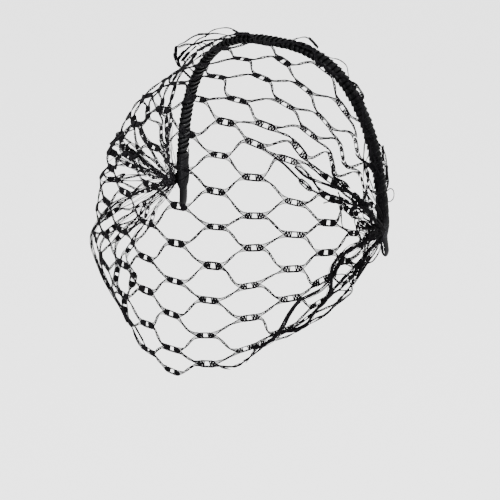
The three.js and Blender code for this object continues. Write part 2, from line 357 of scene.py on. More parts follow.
def finishPiece(piece, material, slot, *nodes):
    piece.data.materials.append(material)
    if nodes:
        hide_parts(*nodes)
    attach(piece, "root")


# Bare glossy band: its tips show below the wraps
core = {
    "width": 7.0,
    "thickness": 2.6,
    "acrossPower": 0.75,
    "outPower": 0.85,
    "tipRounding": 4.2,
    "tipSteps": 9,
    "tipStart": 0.06,  # radians into the rounding
    "tipThickness": 0.35,  # share that the very end keeps
    "flare": 1.5,
    "flareLength": 13,
    "sides": 28,
    "steps": 150,
}


def makeCore():
    rounding = core["tipRounding"]
    ends = rounding * (1 - np.cos(np.linspace(core["tipStart"], np.pi / 2, core["tipSteps"])))
    middle = np.linspace(rounding, bandLength - rounding, core["steps"])[1:-1]
    distance = np.r_[ends, middle, bandLength - ends[::-1]]
    place, outward = bandFrame(distance)
    nearest = np.minimum(distance, bandLength - distance)
    place = place + outward * (core["flare"] * np.clip(1 - nearest / core["flareLength"], 0, 1) ** 2)[:, None]
    fromTip = np.minimum(nearest, rounding) / rounding
    full = np.sqrt(1 - (1 - fromTip) ** 2)[:, None, None]
    a = 2 * np.pi * np.arange(core["sides"]) / core["sides"]
    across = squarer(np.cos(a), core["acrossPower"])[None, :, None] * core["width"] / 2
    out = squarer(np.sin(a), core["outPower"])[None, :, None] * core["thickness"] / 2
    thickness = core["tipThickness"] + (1 - core["tipThickness"]) * full
    points = place[:, None] + full * (across * widthAxis + thickness * out * outward[:, None])
    # turned round, since these rings run the other way
    faces = [[face[0], *face[:0:-1]] for face in ringFaces(len(distance), core["sides"])]
    piece = meshPiece("headbandCore", points, faces)
    finishPiece(piece, glossyPlastic, "gloss_black_plastic", "headband_core")


makeCore()
print("band core done")

# Ribbon wound round the band in overlapping turns
cover = {
    "pitch": 3.4,
    "width": 7.8,
    "thickness": 2.7,
    "overlap": 1.35,  # turns that the ribbon is wide
    "lift": 1.25,
    "taper": 0.15,
    "around": 30,
}
# Smooth ribbon bound over each end of it
wrap = {
    "pitch": 6.5,
    "width": 9.8,
    "thickness": 4.6,
    "overlap": 1.35,
    "lift": 0.32,
    "taper": 0.4,
    "around": 30,
}
# Both ribbons
ribbon = {
    # the outer face first, then back along the inner one: shares of the width and of the lift
    "section": np.array([
        (0.0, 0.0), (0.12, 0.1), (0.45, 0.5), (0.8, 0.95), (0.97, 1.0),
        (1.0, 0.8), (0.93, 0.55), (0.75, 0.5), (0.4, 0.1), (0.08, -0.3),
    ]),
    "wobbles": ((0.05, 0.37, 0), (0.04, 1.3, 1)),  # size, rate, phase
    "power": 0.85,
    "taperLength": 7,
    "underWrap": 1,  # how far the wound one runs in under each wrap
}


# One long ribbon that climbs along the band, its free edge lifted over the last turn
def makeWinding(name, winding, start, end, material, slot, node):
    stepCount = int((end - start) / winding["pitch"] * winding["around"])
    angle = 2 * np.pi * np.arange(stepCount + 1)[:, None] / winding["around"]
    widthShares, liftShares = ribbon["section"].T
    wobble = 1 + sum(size * np.sin(rate * angle + phase) for size, rate, phase in ribbon["wobbles"])
    centre = start + angle / (2 * np.pi) * winding["pitch"]
    reach = winding["pitch"] * winding["overlap"] * wobble
    distance = np.clip(centre + (widthShares - 0.5) * reach, start, end)
    place, outward = bandFrame(distance)
    lift = winding["lift"] * liftShares * wobble
    fromTip = np.minimum(distance, bandLength - distance) - min(start, bandLength - end)
    ends = 1 - winding["taper"] * (1 - smooth(0, ribbon["taperLength"], fromTip))
    across = squarer(np.cos(angle), ribbon["power"]) * (winding["width"] / 2 * ends + lift)
    out = squarer(np.sin(angle), ribbon["power"]) * (winding["thickness"] / 2 * ends + lift)
    points = place + across[..., None] * widthAxis + out[..., None] * outward
    piece = meshPiece(name, points, ringFaces(*points.shape[:2]))
    finishPiece(piece, material, slot, node)


wrapEnd = band["tipLength"] + band["wrapLength"]
coverStart = wrapEnd - ribbon["underWrap"]
makeWinding("bandRibbon", cover, coverStart, bandLength - coverStart, woundRibbon,
            "wound_ribbon", "band_cover")
makeWinding("wrapRight", wrap, band["tipLength"], wrapEnd, bindingRibbon, "binding_ribbon", "end_wrap_right")
makeWinding("wrapLeft", wrap, bandLength - wrapEnd, bandLength - band["tipLength"], bindingRibbon,
            "binding_ribbon", "end_wrap_left")

# Thread whipped over the band, which holds the net's edge
stitch = {
    "spacing": 3.4,
    "radius": 0.2,
    "slant": 0.9,
    "stand": 0.6,
    "loose": 0.3,
    "waves": (2, 3, 5, 7),
    "shifted": 0.25,
    "turned": 0.3,  # radians
    "fromWrap": 2,
    "sides": 3,
    "steps": 26,
}


def makeStitches():
    start, end = wrapEnd + stitch["fromWrap"], bandLength - wrapEnd - stitch["fromWrap"]
    centre = np.arange(start, end, stitch["spacing"])[:, None]
    a = 2 * np.pi * np.arange(stitch["steps"])[None, :] / stitch["steps"]
    each = (len(centre), 1)
    waves = sum(rng.normal(0, 1, each) * np.sin(k * a + rng.uniform(0, anyPhase, each))
                for k in stitch["waves"])
    stand = stitch["stand"] + stitch["loose"] * waves / 2
    centre = centre + rng.normal(0, stitch["shifted"], each)
    centre = centre + stitch["slant"] * np.sin(a + rng.normal(0, stitch["turned"], each))
    place, outward = bandFrame(centre)
    across = squarer(np.cos(a), ribbon["power"]) * (cover["width"] / 2 + stand)
    out = squarer(np.sin(a), ribbon["power"]) * (cover["thickness"] / 2 + stand)
    lines = place + across[..., None] * widthAxis + out[..., None] * outward
    facing = unit(lines - place)
    piece = meshPiece("edgeStitches", *tubes(lines, stitch["radius"], stitch["sides"], facing, closed=True))
    finishPiece(piece, woundRibbon, "wound_ribbon")


makeStitches()
print("ribbon turns done")

# Net knots: two coiled ends on a pair of cords, with a small window between them
knot = {
    "half": 5.8,  # from the middle to the outer end
    "corner": 4.0,  # where the outline starts to narrow
    "halfHeight": 1.9,
    "coilStart": 1.8,
    "coilSpacing": 0.79,
    "coils": 5,
    "coilDepth": 0.5,
    "coilTilt": 0.24,
    "coilRadius": 0.41,
    "coilSteps": 6,
    "narrowing": (3.7, 6.4),  # from where to where the coils lose height
    "narrowed": 0.75,  # share that they lose
    "cordPlaces": (-1, -0.82, -0.56, -0.3, 0.3, 0.56, 0.82, 1),  # shares of the half
    "cordHeights": (0.2, 0.68, 1, 1, 1, 1, 0.68, 0.2),  # shares of the half height
    "cordRadius": 0.33,
    "cordGap": 0.45,
    "cordDepth": 0.2,
    "cordLowest": 0.1,
}
threads = {
    "perStrand": 7,
    "radius": 0.2,
    "sides": 3,
    "steps": 10,
    "twists": 0.8,
    "phases": 6,
    "bundle": 0.66,
    "fan": 0.5,  # share of a strand over which its threads come together
    "crossing": 1.55,  # half heights of a knot's end that they fan over
    "reach": 1.1,
    "slopes": (0.12, 0.62),  # of the lowest and the highest thread
    "sway": 0.35,
    "sag": 0.4,
}

# The net is worn askew. For each side: moves in columns and rows, and where each comes and goes
askew = {
    1: {
        "slide": 0.2,
        "slideRows": (0.5, 2, 5, 6.5),
        "slideColumns": (0, 2, 3.2, 4.5),
        "rise": 0.16,
        "riseRows": (0.5, 1.5, 3.5, 5.5),
        "riseColumns": (0, 1.5, 2.6, 3.6),
    },
    -1: {
        "slide": 0.1,
        "slideRows": (-2, -1, 2.5, 4),
        "slideColumns": (0, 1, 8, 9),
        "rise": -0.17,
        "riseRows": (2, 4, 6.5, 8),
        "riseColumns": (0, 1, 8, 9),
    },
}
# It is also drawn into folds, in rows apart, towards each gather
folds = {"first": 1.9, "spacing": 4.4, "strength": 0.8, "columns": (3.6, 5.8)}
# How unevenly the knots lie, in columns and rows, radians and shares of their size
scatter = {
    "moved": 0.022,
    "calmed": 0.5,
    "calmColumns": (4.5, 6),
    "fromEdge": 0.05,
    "turned": 0.07,
    "turnedByGather": 0.3,
    "gatherColumns": (4.2, 6.2),
    "size": 0.03,
    "height": 0.07,
    "tightSize": 0.2,
    "tightHeight": 0.25,
}


# Grows between the first two values, and fades between the last two
def swell(x, ramps):
    start, full, fading, end = ramps
    return float(smooth(start, full, x) * (1 - smooth(fading, end, x)))


# Where a knot of the even net lies once the net is worn
def worn(column, row):
    count = abs(column)
    move = askew[1 if column > 0 else -1]
    slide = move["slide"] * swell(row, move["slideRows"]) * swell(count, move["slideColumns"])
    rise = move["rise"] * swell(row, move["riseRows"]) * swell(count, move["riseColumns"])
    strength = folds["strength"] * float(smooth(*folds["columns"], count))
    phase = 2 * math.pi * (row - folds["first"]) / folds["spacing"]
    drawn = row - strength * folds["spacing"] / (2 * math.pi) * math.sin(phase)
    return column + slide, drawn + rise


# Knots that are pulled out of line: column, row, columns moved, rows moved
pulledKnots = {
    (3, 6.5): (-0.2, 0.4), (2, 8): (0, -0.2), (1, 8.5): (0.05, -0.2), (2, 7): (-0.1, 0.12),
    (3, 1.5): (-0.17, -0.25), (3, 0.5): (-0.35, 0.6), (2, 0): (-0.17, 0), (4, 0): (-0.35, 0.6),
    (4, 1): (-0.25, 0.3), (1, 0.5): (0, 0.12),
}
# Knots that are drawn tight, as shares of the full size
smallKnots = {
    (2, 0): 0.5, (-2, 0): 0.5, (3, 0.5): 0.75, (4, 0): 0.7, (4, 1): 0.8, (4, 8): 0.85,
    (4, 9): 0.75, (5, 8.5): 0.7, (5, 9.5): 0.65, (5, 7.5): 0.7, (4, 10): 0.75, (3, 9.5): 0.85,
}
# Knots near the band that hang more upright, in radians
turnedKnots = {
    (4, 8): 0.9, (4, 9): 0.75, (5, 8.5): 0.8, (5, 9.5): 0.6, (4, 10): 0.5, (5, 7.5): 0.4, (3, 7.5): 0.3,
}


def knotPlaces():
    places = {}
    lowest, highest = scatter["fromEdge"], net["rows"] - scatter["fromEdge"]
    for column in range(-net["gatherColumn"] + 1, net["gatherColumn"]):
        calm = 1 - scatter["calmed"] * smooth(*scatter["calmColumns"], abs(column))
        for row in np.arange(abs(column % 2) / 2, net["rows"] + tiny, 1.0):
            place = np.array(worn(column, row)) + np.array(pulledKnots.get((column, row), (0, 0)))
            place += rng.normal(0, scatter["moved"], 2) * calm
            places[(column, row)] = (place[0], float(np.clip(place[1], lowest, highest)))
    return places


knots = knotPlaces()


# How near a knot is to its gather, from 0 to 1
def byGather(key):
    return float(smooth(*scatter["gatherColumns"], abs(key[0])))


# Each knot's place and its axes: along the row, up, outward
def makeKnotAxes():
    places, axes = {}, {}
    step = 0.03
    for key, (column, row) in knots.items():
        along = unit(netPoint(column + step, row) - netPoint(column - step, row))
        outward = netOutward(column, row)
        upward = np.cross(outward, along)
        turn = rng.normal(0, scatter["turned"] + scatter["turnedByGather"] * byGather(key))
        turn -= turnedKnots.get(key, 0)
        turned = along * math.cos(turn) + upward * math.sin(turn)
        places[key] = netPoint(column, row)
        axes[key] = np.array([turned, np.cross(outward, turned), outward])
    return places, axes


knotPoints, knotAxes = makeKnotAxes()


# One knot in its own axes: along the row, up, outward
def drawKnot():
    steps = knot["coilSteps"]
    a = 2 * np.pi * np.arange(steps) / steps
    rings = []
    for side in (-1, 1):
        for turn in range(knot["coils"]):
            x = knot["coilStart"] + turn * knot["coilSpacing"]
            height = knot["halfHeight"] * (1 - knot["narrowed"] * float(smooth(*knot["narrowing"], x)))
            tilt = knot["coilTilt"] * np.cos(a) * (1 if turn % 2 else -1)
            rings.append(np.stack([side * (x + tilt), height * np.cos(a), knot["coilDepth"] * np.sin(a)], -1))
    facing = np.tile([1.0, 0.0, 0.0], (len(rings), steps, 1))
    coils = tubes(np.array(rings), knot["coilRadius"], threads["sides"], facing, closed=True)
    x = np.array(knot["cordPlaces"]) * knot["half"]
    heights = np.array(knot["cordHeights"]) * knot["halfHeight"]
    cords = []
    for side in (-1, 1):
        for layer in (0, 1):
            y = side * np.maximum(heights - layer * knot["cordGap"], knot["cordLowest"])
            cords.append(np.stack([x, y, np.full(len(x), knot["cordDepth"] * (1 - 2 * layer))], -1))
    facing = np.tile([0.0, 0.0, 1.0], (len(cords), len(x), 1))
    return joined([coils, tubes(np.array(cords), knot["cordRadius"], threads["sides"], facing)])


oneKnotPoints, oneKnotFaces = drawKnot()


def knotParts():
    parts = []
    for key, place in knotPoints.items():
        tight = byGather(key)
        size = (1 - scatter["tightSize"] * tight) * rng.normal(1, scatter["size"]) * smallKnots.get(key, 1)
        height = size * rng.normal(1, scatter["height"]) * (1 - scatter["tightHeight"] * tight)
        parts.append((place + (oneKnotPoints * np.array([size, height, size])) @ knotAxes[key], oneKnotFaces))
    return parts


# The threads of a strand fan over the whole end of a knot, and reach the next knot the other way round
def strandParts():
    pairs = []
    for (column, row) in knots:
        for rise in (-0.5, 0.5):
            if (column + 1, row + rise) in knots:
                pairs.append(((column, row), (column + 1, row + rise), math.copysign(1, rise)))
    first = np.array([knotPoints[a] for a, b, s in pairs])[:, None]
    last = np.array([knotPoints[b] for a, b, s in pairs])[:, None]
    firstAxes = np.array([knotAxes[a] for a, b, s in pairs])
    lastAxes = np.array([knotAxes[b] for a, b, s in pairs])
    sign = np.array([s for a, b, s in pairs])[:, None]
    u = np.linspace(0, 1, threads["perStrand"])[None, :]
    narrow = knot["half"] - knot["corner"]
    leave, arrive = 1 - threads["crossing"] * u, 1 - threads["crossing"] * (1 - u)
    firstX = knot["half"] - narrow * np.abs(leave) + 0 * sign
    lastX = narrow * np.abs(arrive) - knot["half"] + 0 * sign
    firstY, lastY = sign * knot["halfHeight"] * leave, -sign * knot["halfHeight"] * arrive

    def placed(origin, axes, x, y):
        return origin + x[..., None] * axes[:, None, 0] + y[..., None] * axes[:, None, 1]

    start, end = placed(first, firstAxes, firstX, firstY), placed(last, lastAxes, lastX, lastY)
    length = np.linalg.norm(end - start, axis=-1)
    low, high = threads["slopes"]
    startSlope = placed(0, firstAxes, length * threads["reach"], sign * length * (low + (high - low) * u))
    endSlope = placed(0, lastAxes, length * threads["reach"], sign * length * (high - (high - low) * u))
    t = np.linspace(0, 1, threads["steps"])[None, None, :, None]
    lines = hermite(start[:, :, None], end[:, :, None], startSlope[:, :, None], endSlope[:, :, None], t)
    middle = lines.mean(axis=1, keepdims=True)
    closing = np.clip(np.minimum(t, 1 - t) / threads["fan"], 0, 1)
    outward = unit(firstAxes[:, None, None, 2] * (1 - t) + lastAxes[:, None, None, 2] * t)
    along = unit(np.gradient(middle, axis=2))
    across = unit(np.cross(outward, along))
    each = (len(pairs), 1, 1, 1)
    twist = 2 * np.pi * (threads["twists"] * t + u[..., None, None]) + rng.uniform(0, threads["phases"], each)
    bundle = threads["bundle"] * closing
    sway = rng.normal(0, threads["sway"], each) * np.sin(np.pi * t)
    sag = rng.normal(0, threads["sag"], each) * np.sin(np.pi * t)
    lines = middle + (lines - middle) * (1 - closing)
    lines = lines + across * (bundle * np.cos(twist) + sway) + outward * (bundle * np.sin(twist) + sag)
    facing = np.broadcast_to(outward, lines.shape).reshape(-1, threads["steps"], 3)
    print("strands", len(pairs))
    return tubes(lines.reshape(facing.shape), threads["radius"], threads["sides"], facing)


def makeNet():
    piece = meshPiece("veilNet", *joined(knotParts() + [strandParts()]))
    finishPiece(piece, netThread, "net_thread", "veil_net")
    return piece


# Ropes: threads that run together along a given route
rope = {
    "stepLength": 1.6,
    "fewestSteps": 10,
    "up": (0.3, -0.8, 0.5),  # roughly out of the net
    "waves": (0.5, 2.2),
    "sizes": (0.3, 1.0),
    "knotSteps": 80,
    "knotHeights": (0.6, 1),
    "middle": (0, -10, -70),  # that its knots face away from
}


# A route through the points, by distance, with rounded corners
def smoothRoute(points, steps):
    points = np.asarray(points, float)
    s = np.r_[0, np.cumsum(np.linalg.norm(np.diff(points, axis=0), axis=1))]
    slopes = np.gradient(points, s, axis=0)
    q = np.linspace(0, s[-1], steps)
    i = np.clip(np.searchsorted(s, q, side="right") - 1, 0, len(s) - 2)
    span = (s[i + 1] - s[i])[:, None]
    t = (q - s[i])[:, None] / span
    return hermite(points[i], points[i + 1], slopes[i] * span, slopes[i + 1] * span, t)


# Threads that wander about a route, closer together or further apart towards its end
def ropeParts(points, count, spread, radius, closing=0.0):
    length = np.linalg.norm(np.diff(np.asarray(points, float), axis=0), axis=1).sum()
    steps = max(rope["fewestSteps"], int(length / rope["stepLength"]))
    route = smoothRoute(points, steps)
    along = unit(np.gradient(route, axis=0))
    across = unit(np.cross(along, rope["up"]))
    up = np.cross(across, along)
    t = np.linspace(0, 1, steps)
    lines = []
    for k in range(count):
        waves = [rng.uniform(*rope["waves"]) * 2 * np.pi * t + rng.uniform(0, anyPhase) for j in range(2)]
        size = spread * rng.uniform(*rope["sizes"]) * (1 - closing * smooth(0, 1, t))
        sideways, upward = (size * np.cos(waves[0]))[:, None], (size * np.sin(waves[1]))[:, None]
        lines.append(route + sideways * across + upward * up)
    facing = np.broadcast_to(up, (count, steps, 3))
    return tubes(np.array(lines), radius, threads["sides"], facing)


# A knot of the net that lies along a route
def ropeKnot(points, share, size):
    last = rope["knotSteps"] - 1
    route = smoothRoute(points, rope["knotSteps"])
    i = min(max(int(share * last), 1), last - 1)
    along = unit(route[i + 1] - route[i - 1])
    outward = unit(route[i] - np.array(rope["middle"]))
    outward = unit(outward - along * (outward @ along))
    axes = np.array([along, np.cross(outward, along), outward])
    stretch = size * np.array([1, rng.uniform(*rope["knotHeights"]), 1])
    return route[i] + (oneKnotPoints * stretch) @ axes, oneKnotFaces


# Folds that run to a gather: column, row, millimetres out from the net
foldRoutes = {
    "longFold": [(2.0, 7.05, 0.4), (2.7, 6.7, 0.8), (3.1, 6.35, 1.2), (3.6, 6.0, 1.6), (4.2, 6.1, 2),
                 (5, 6.1, 2), (6, 6.2, 1.5), (6.9, 6, 0)],
    "thickFold": [(3.0, 6.75, 0.8), (3.3, 6.5, 1.2), (3.9, 6.45, 1.8), (4.5, 6.6, 2.2), (5.1, 6.9, 2.4),
                  (6, 7.0, 1.5), (6.9, 7, 0)],
    "steepFold": [(4.0, 8.0, 0.5), (4.1, 7.5, 1), (4.4, 7.1, 1.5), (5.0, 7.0, 2), (6, 7.2, 1.5),
                  (6.9, 7, 0)],
    "underRope": [(2.25, 1.0, 0.3), (2.5, 1.0, 0.6), (2.75, 1.15, 1), (2.97, 1.5, 1.4), (3.25, 2.15, 1.8),
                  (3.45, 2.5, 2), (3.72, 2.65, 2), (4.0, 2.78, 2), (4.2, 2.95, 2), (4.6, 3.3, 2),
                  (4.9, 3.75, 2), (5.45, 3.95, 2), (6.2, 4.3, 1.5), (6.9, 4.6, 0)],
    "hemRope": [(2.97, 1.45, 1.2), (3.2, 1.3, 1.4), (3.45, 1.2, 1.6), (3.72, 1.2, 2), (3.95, 1.7, 2),
                (4.15, 2.05, 2), (4.2, 2.75, 2.4), (4.3, 3.4, 2.4), (4.45, 3.65, 2.4), (4.9, 3.85, 2.4),
                (5.45, 4.05, 2), (6.2, 4.5, 1.5), (6.9, 4.8, 0)],
    "cornerRope": [(1.3, 0.45, 0.2), (1.85, 0.02, 0.2), (2.1, 0.3, 0.4), (2.7, 1.15, 0.8),
                   (2.97, 1.45, 1.2)],
    "lowFold": [(3.72, 1.2, 2), (4.05, 1.1, 2), (4.3, 0.9, 2), (4.55, 0.95, 2), (4.93, 0.85, 2),
                (5.2, 0.8, 2), (5.3, 1.5, 2), (5.3, 2.2, 2.4), (5.35, 2.7, 2.4), (5.8, 2.9, 2),
                (6.1, 3.5, 2), (6.3, 4.3, 1.5), (6.9, 4.8, 0)],
    "sideStrand": [(5.35, 2.7, 2), (5.7, 1.8, 2), (6.15, 0.8, 2.4), (6.6, 0.2, 2.4), (6.9, 1.2, 0)],
    "firstLink": [(4.2, 3.1, 1.5), (4.6, 2.95, 1.5), (5.15, 2.4, 1.5), (5.3, 2.5, 2)],
    "secondLink": [(4.2, 1.8, 1.5), (4.45, 1.7, 1.5), (4.85, 1.3, 1.5), (5.2, 0.8, 1.5)],
    "clumpLink": [(4.45, 3.6, 1.5), (4.8, 3.3, 1.5), (5.1, 2.9, 2), (5.35, 2.7, 2)],
    "farCorner": [(-0.8, 0.5, 0), (-1.3, 0.2, 0), (-2.1, -1.1, 0), (-2.35, -0.3, 0.3), (-2.6, 0.6, 0.5)],
    "upperWedge": [(5.0, 6.3, 1.5), (5.6, 6.4, 2), (6.3, 6.3, 1.5), (6.95, 6, 0)],
    "middleWedge": [(5.5, 5.1, 1), (5.9, 5.1, 1.5), (6.4, 5.3, 1.5), (6.95, 5.5, 0)],
    "lowerWedge": [(5.8, 3.9, 1), (6.1, 4.3, 1.5), (6.5, 4.8, 1.5), (6.95, 5.2, 0)],
    "openWedge": [(5.5, 4.5, 1), (5.95, 4.65, 1.5), (6.45, 5.0, 1.5), (6.95, 5.3, 0)],
    "firstCurl": [(3.9, 5.7, 1), (4.3, 6.0, 1.5), (4.6, 5.6, 2), (4.5, 5.0, 2), (4.9, 4.7, 2),
                  (5.3, 5.1, 2), (5.7, 5.6, 1.5), (6.5, 5.9, 1)],
    "secondCurl": [(4.2, 6.3, 2), (4.7, 5.9, 2), (5.1, 5.9, 2.4), (5.3, 5.3, 2), (5.1, 4.7, 1.5),
                   (5.5, 4.2, 1.5), (6.1, 4.8, 1.5), (6.8, 5.4, 1)],
    "thirdCurl": [(4.6, 7.4, 1.5), (4.9, 6.7, 2), (5.3, 6.5, 2), (5.5, 6.0, 2), (6.0, 5.9, 2),
                  (6.8, 6.1, 1)],
    "lowCurl": [(4.4, 2.9, 1), (4.9, 3.4, 1.5), (5.2, 2.7, 2), (5.7, 3.0, 2), (5.8, 3.9, 2),
                (6.4, 4.4, 1.5), (6.9, 4.8, 0)],
}
# Their threads: count, spread at the start, share by which it closes (or opens) by the gather, radius
foldThreads = {
    "longFold": (10, 0.8, 0, 0.18), "thickFold": (13, 0.9, 0, 0.18), "steepFold": (9, 0.8, 0, 0.18),
    "underRope": (20, 1.1, -0.5, 0.19), "hemRope": (16, 0.95, -0.5, 0.19), "cornerRope": (8, 0.5, 0, 0.2),
    "lowFold": (8, 0.55, 0, 0.19), "sideStrand": (5, 0.4, 0, 0.19), "firstLink": (5, 0.4, 0, 0.19),
    "secondLink": (5, 0.4, 0, 0.19), "clumpLink": (6, 0.5, 0, 0.19), "farCorner": (6, 0.4, 0, 0.2),
    "upperWedge": (14, 2.4, 0.6, 0.15), "middleWedge": (30, 2.6, 0.6, 0.19),
    "lowerWedge": (34, 3.0, 0.6, 0.19), "openWedge": (32, 2.3, 0.6, 0.19), "firstCurl": (5, 0.4, 0, 0.18),
    "secondCurl": (5, 0.4, 0, 0.18), "thirdCurl": (6, 0.45, 0, 0.18), "lowCurl": (5, 0.4, 0, 0.18),
}
# Knots on them, as shares of each route
foldKnots = {
    "longFold": (0.3, 0.52), "thickFold": (0.3, 0.5), "steepFold": (0.2, 0.5), "underRope": (0.27, 0.6),
    "hemRope": (0.12, 0.42, 0.62), "lowFold": (0.57, 0.62, 0.68), "farCorner": (0.72,),
    "firstCurl": (0.2, 0.6), "secondCurl": (0.3, 0.7), "thirdCurl": (0.3,), "lowCurl": (0.25, 0.6),
}
foldKnotSize = 0.85
# The far side has some of the folds, thinner and lower
farSide = {
    "folds": ("longFold", "thickFold", "steepFold", "underRope", "upperWedge", "firstCurl", "thirdCurl"),
    "threadShare": 0.6,
    "rowsLower": 0.35,
}


def foldPoints(name, side):
    points = []
    for column, row, lift in foldRoutes[name]:
        c, r = side * column, row if side > 0 else row - farSide["rowsLower"]
        hem = netPoint(c, 0)
        below = (netPoint(c, 0.5) - hem) * 2 * min(r, 0)
        points.append(netPoint(c, max(r, 0)) + below + netOutward(c, max(r, 0)) * lift)
    return points


def makeFolds():
    parts = []
    for side in (1, -1):
        for name, (count, spread, closing, radius) in foldThreads.items():
            if side < 0:
                if name not in farSide["folds"]:
                    continue
                count = int(count * farSide["threadShare"])
            points = foldPoints(name, side)
            parts.append(ropeParts(points, count, spread, radius, closing))
            for share in foldKnots.get(name, ()):
                parts.append(ropeKnot(points, share, foldKnotSize))
    piece = meshPiece("netFolds", *joined(parts))
    finishPiece(piece, netThread, "net_thread")
    return piece


# Threads from the last knots into the wraps, where the binding holds them
gather = {
    "columns": {6: 6, 5: 3},  # threads from each knot of the last two columns
    "bend": 6.5,  # column where they turn to the wrap
    "intoWrap": (-2.4, 1.2, 2),  # past the net's own gather
    "fromKnot": 4,
    "startScatter": 0.6,
    "bendColumns": 0.15,
    "bendScatter": 0.9,
    "endScatter": (0.3, 0.7, 2.0),
    "swings": (0.9, 0.5),
    "sag": (0.2, 1.6),
    "radius": 0.2,
    "steps": 14,
}


def makeGathers():
    t = np.linspace(0, 1, gather["steps"])[:, None]
    arch, wave = np.sin(np.pi * t), np.sin(2 * np.pi * t)
    lines, facing = [], []
    for side in (-1, 1):
        end = (np.array(net["gatherPlace"]) + gather["intoWrap"]) * np.array([side, 1, 1])
        for (column, row) in knots:
            outward, upward = netOutward(*knots[column, row]), knotAxes[column, row][1]
            for k in range(gather["columns"].get(column * side, 0)):
                start = knotPoints[column, row] + side * knotAxes[column, row][0] * gather["fromKnot"]
                start = start + rng.normal(0, gather["startScatter"], 3)
                bend = side * gather["bend"] + rng.normal(0, gather["bendColumns"])
                through = netPoint(bend, knots[column, row][1]) + rng.normal(0, gather["bendScatter"], 3)
                finish = end + np.array([rng.normal(0, size) for size in gather["endScatter"]])
                archSize, waveSize = (rng.normal(0, size) for size in gather["swings"])
                swing = (archSize * arch + waveSize * wave) * upward
                sag = rng.uniform(*gather["sag"]) * arch * outward
                lines.append((1 - t) ** 2 * start + 2 * t * (1 - t) * through + t**2 * finish + swing + sag)
                facing.append(np.tile(outward, (len(t), 1)))
    points, faces = tubes(np.array(lines), gather["radius"], threads["sides"], np.array(facing))
    piece = meshPiece("netGathers", points, faces)
    finishPiece(piece, netThread, "net_thread")
    return piece


# Loose edge of the net by the band: distance along the band, out from it, back from its middle
edgeLoops = {
    "ruffleOuter": [(84, 1, 3), (87, 11, 2), (91, 19.5, 2), (96, 21.5, 2), (101, 18.5, 2), (107.5, 16, 2),
                    (112, 13.5, 2), (115.5, 11, 2)],
    "ruffleTop": [(113, 10.5, 2), (118, 11, 2), (124, 10, 2), (131.5, 7.2, 2), (135, 4.2, 2), (139, 1, 3)],
    "ruffleInner": [(96, 20.5, 2), (101, 17, 2), (105, 12.5, 2), (111, 9.5, 2), (119.5, 4.8, 2),
                    (130.5, 0.8, 3)],
    "ruffleMiddle": [(105, 13, 1), (109, 12.5, 1), (113, 11, 1), (119, 9.5, 1), (125, 5.5, 2),
                     (131, 1.2, 3)],
    "ruffleCross": [(86, 2, 1), (90, 17, 2), (94, 16.5, 2), (99, 15, 2), (104, 13, 2)],
    "ruffleBack": [(89, 1, 4), (92, 14, 3), (98, 13, 3), (104, 11.5, 3)],
    "ruffleStem": [(106, 12, 2), (107, 9, 2), (105, 3.5, 2), (103, 0.5, 2)],
    "ruffleStalk": [(109, 10, 2), (112, 6, 1), (115, 0.8, 1)],
    "topLoop": [(172, 1, 4), (176, 3, 6), (180, 4.5, 7), (185, 3, 7), (190, 1.5, 5)],
    "shoulderLoop": [(199, 1, 4), (204, 2.5, 7), (209, 2.5, 8), (215, 1, 5)],
    "sideLoop": [(256, 0, 4), (259, 0.5, 6), (263, 0.5, 8.5), (270, 0.5, 9), (278, 0, 9), (284, 0, 8),
                 (287, 0, 4.5)],
    "sideLace": [(258, 0.5, 5), (263, 0.8, 7), (268, 0.2, 6.4), (273, 0.8, 7.6), (279, 0.2, 6.6),
                 (285, 0.4, 6)],
    "sideWave": [(261, 0.2, 8.2), (265, 0.8, 5.5), (270, 0.2, 8.2), (275, 0.8, 5.6), (280, 0.2, 8),
                 (285, 0.5, 5)],
    "ringLoop": [(287, 0.5, 4.5), (286, 1, 8), (289, 1, 11.5), (293, 1, 10.5), (294, 0.5, 7),
                 (293, 0, 4.5)],
    "frontCurl": [(252, -1, -4), (258, 0, -9), (263, 1, -13), (270, 1.5, -13), (277, 1, -10), (284, 0, -7)],
    "frontLoop": [(262, -1, -4), (263, 0.5, -9), (266, 1, -14), (272, 1.5, -17)],
}
# Their threads: count, spread, radius
loopThreads = {
    "ruffleOuter": (6, 0.5, 0.22), "ruffleTop": (4, 0.35, 0.22), "ruffleInner": (6, 0.55, 0.22),
    "ruffleMiddle": (5, 0.4, 0.22), "ruffleCross": (6, 0.7, 0.22), "ruffleBack": (4, 0.5, 0.22),
    "ruffleStem": (4, 0.35, 0.22), "ruffleStalk": (4, 0.4, 0.22), "topLoop": (4, 0.4, 0.2),
    "shoulderLoop": (3, 0.4, 0.2), "sideLoop": (6, 0.4, 0.22), "sideLace": (5, 0.8, 0.17),
    "sideWave": (5, 0.7, 0.17), "ringLoop": (5, 0.3, 0.22), "frontCurl": (5, 0.4, 0.2),
    "frontLoop": (4, 0.35, 0.2),
}
# Knots on them, as shares of each route
loopKnots = {
    "ruffleOuter": (0.33, 0.42, 0.95), "ruffleTop": (0.88,), "ruffleInner": (0.33, 0.93),
    "ruffleCross": (0.62,), "ruffleBack": (0.6,), "topLoop": (0.75,), "sideLace": (0.25, 0.7),
    "frontCurl": (0.55,),
}
loopKnotSize = 0.8


def makeLoops():
    parts = []
    for name, places in edgeLoops.items():
        distance, out, back = np.array(places, float).T
        place, outward = bandFrame(distance)
        points = place + outward * out[:, None] + widthAxis * back[:, None]
        count, spread, radius = loopThreads[name]
        parts.append(ropeParts(points, count, spread, radius))
        for share in loopKnots.get(name, ()):
            parts.append(ropeKnot(points, share, loopKnotSize))
    piece = meshPiece("edgeLoops", *joined(parts))
    finishPiece(piece, netThread, "net_thread")
    return piece


veilNet = makeNet()
netFolds = makeFolds()
netGathers = makeGathers()
looseEdge = makeLoops()
# Netting is mostly holes: the area is the thread's own, not that of the cut
print("net done")

